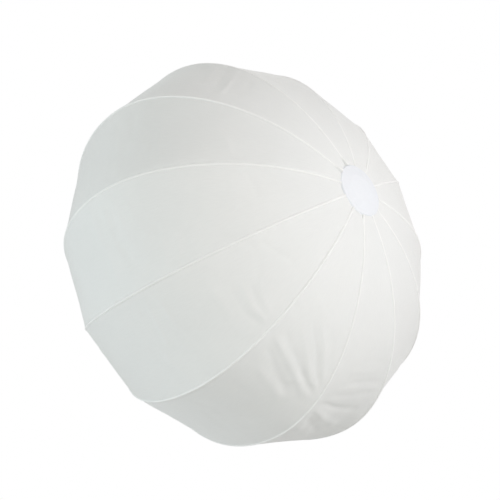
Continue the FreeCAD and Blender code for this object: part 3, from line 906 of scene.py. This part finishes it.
def make_hem():
    """Elastic hem: a ribbed band, gathered into small pleats."""
    low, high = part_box("hem_band")
    around, section = HEM_AROUND, HEM_SECTION
    verts = []
    for i in range(around):
        a = 2 * math.pi * i / around
        uneven = noise.noise(Vector((math.cos(a) * 9, math.sin(a) * 9, 0)))
        gather = HEM_PLEAT * math.sin(HEM_PLEATS * a) + HEM_UNEVEN * uneven
        for j in range(section):
            b = 2 * math.pi * j / section
            swell = squared(math.cos(b))
            radius = (HEM_INNER + HEM_OUTER) / 2 + (HEM_OUTER - HEM_INNER) / 2 * swell
            radius += gather * max(0, swell)
            y = (low.y + high.y) / 2 + (high.y - low.y) / 2 * squared(math.sin(b)) * HEM_FILLS
            verts.append((radius * math.cos(a), y, radius * math.sin(a)))
    faces = []
    for i in range(around):
        for j in range(section):
            a, b = i * section, ((i + 1) % around) * section
            k = (j + 1) % section
            faces.append((a + j, a + k, b + k, b + j))
    uv = [(2 * math.pi * HEM_R * (n // section) / around, (n % section) * MM)
          for n in range(len(verts))]
    hem = new_object("hem_elastic_band", verts, faces, uv, smooth_angle=70)
    paint(hem, "hem_elastic")
    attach(hem, "ring")
    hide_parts("hem_band")


# ---------------------------------------------------------------- stage, light and camera
FLOOR_Z, FLOOR_HALF = -1.75, 9.0


def make_stage():
    """A plain pale floor."""
    corners = [(-1, -1), (1, -1), (1, 1), (-1, 1)]
    verts = [(x * FLOOR_HALF, y * FLOOR_HALF, FLOOR_Z) for x, y in corners]
    floor = new_object("floor", verts, [(0, 1, 2, 3)])
    mat, nodes, links, shader = node_material("floor_pale")
    grain = add(nodes, "ShaderNodeTexNoise", Scale=3.0, Detail=5.0)
    tone = ramp(nodes, links, grain.outputs["Fac"], [(0.3, grey(0.8)), (0.7, grey(0.84))])
    links.new(tone, shader.inputs["Base Color"])
    shader.inputs["Roughness"].default_value = 0.9
    floor.data.materials.append(mat)


GLOBE_CENTRE = Vector((0, -EQUATOR, 0))
AMBIENT = (0.595, 0.59, 0.575)
LIGHTS = [
    # name, direction from the globe, distance, diameter, watts of red, green and blue
    ("key_low_front", (-0.31, -0.80, -0.52), 2.5, 1.4, (20.5, 20.6, 19.9)),
    ("left_rear", (-0.85, 0.50, -0.25), 2.2, 1.0, (14.0, 16.0, 16.6)),
    ("front_near", (0.20, -0.98, 0.0), 1.3, 0.5, (5.1, 4.95, 5.2)),
]


def make_lights():
    """A pale room that shows as white behind the object, and soft round lamps."""
    world = bpy.data.worlds.new("studio")
    bpy.context.scene.world = world
    world.use_nodes = True
    nodes, links = world.node_tree.nodes, world.node_tree.links
    lit = nodes["Background"]
    lit.inputs["Color"].default_value = (*AMBIENT, 1)
    lit.inputs["Strength"].default_value = 1.0
    seen = add(nodes, "ShaderNodeBackground", Strength=1.0)
    seen.inputs["Color"].default_value = (1, 1, 1, 1)
    path = nodes.new("ShaderNodeLightPath")
    mix = nodes.new("ShaderNodeMixShader")
    links.new(path.outputs["Is Camera Ray"], mix.inputs["Fac"])
    links.new(lit.outputs["Background"], mix.inputs[1])
    links.new(seen.outputs["Background"], mix.inputs[2])
    links.new(mix.outputs["Shader"], nodes["World Output"].inputs["Surface"])
    for name, direction, distance, size, watts in LIGHTS:
        lamp = bpy.data.lights.new(name, "AREA")
        lamp.shape = "DISK"
        lamp.size = size
        lamp.energy = max(watts)
        lamp.color = [w / max(watts) for w in watts]
        obj = bpy.data.objects.new(name, lamp)
        way = Vector(direction).normalized()
        obj.location = GLOBE_CENTRE + way * distance
        obj.rotation_mode = "QUATERNION"
        obj.rotation_quaternion = (-way).to_track_quat("-Z", "Y")
        obj.visible_camera = False
        bpy.context.scene.collection.objects.link(obj)


CAMERA_AZIMUTH = math.radians(-44.45)
CAMERA_ELEVATION = math.radians(-34.16)
CAMERA_DISTANCE = 7.336 * GLOBE_R
FIELD_OF_VIEW = math.radians(19.48)
CAMERA_SHIFT = (-0.0057, 0.0036)
SENSOR_WIDTH = 36.0                  # millimetres
CLIP_END = 50


def make_camera():
    """Low in front of the globe and to its left, looking up at it."""
    data = bpy.data.cameras.new("camera")
    camera = bpy.data.objects.new("camera", data)
    back = Vector((math.sin(CAMERA_AZIMUTH) * math.cos(CAMERA_ELEVATION),
                   -math.cos(CAMERA_AZIMUTH) * math.cos(CAMERA_ELEVATION),
                   math.sin(CAMERA_ELEVATION)))
    camera.location = GLOBE_CENTRE + back * CAMERA_DISTANCE
    camera.rotation_mode = "QUATERNION"
    camera.rotation_quaternion = (-back).to_track_quat("-Z", "Y")
    data.sensor_width = SENSOR_WIDTH
    data.lens = SENSOR_WIDTH / 2 / math.tan(FIELD_OF_VIEW / 2)
    data.shift_x, data.shift_y = CAMERA_SHIFT
    data.clip_end = CLIP_END
    bpy.context.scene.collection.objects.link(camera)
    bpy.context.scene.camera = camera


make_camera()
make_lights()
make_stage()
paint_cad_nodes()
make_cover()
make_patch()
make_hem()
bpy.context.scene.view_settings.view_transform = "Standard"

bpy.context.view_layer.update()
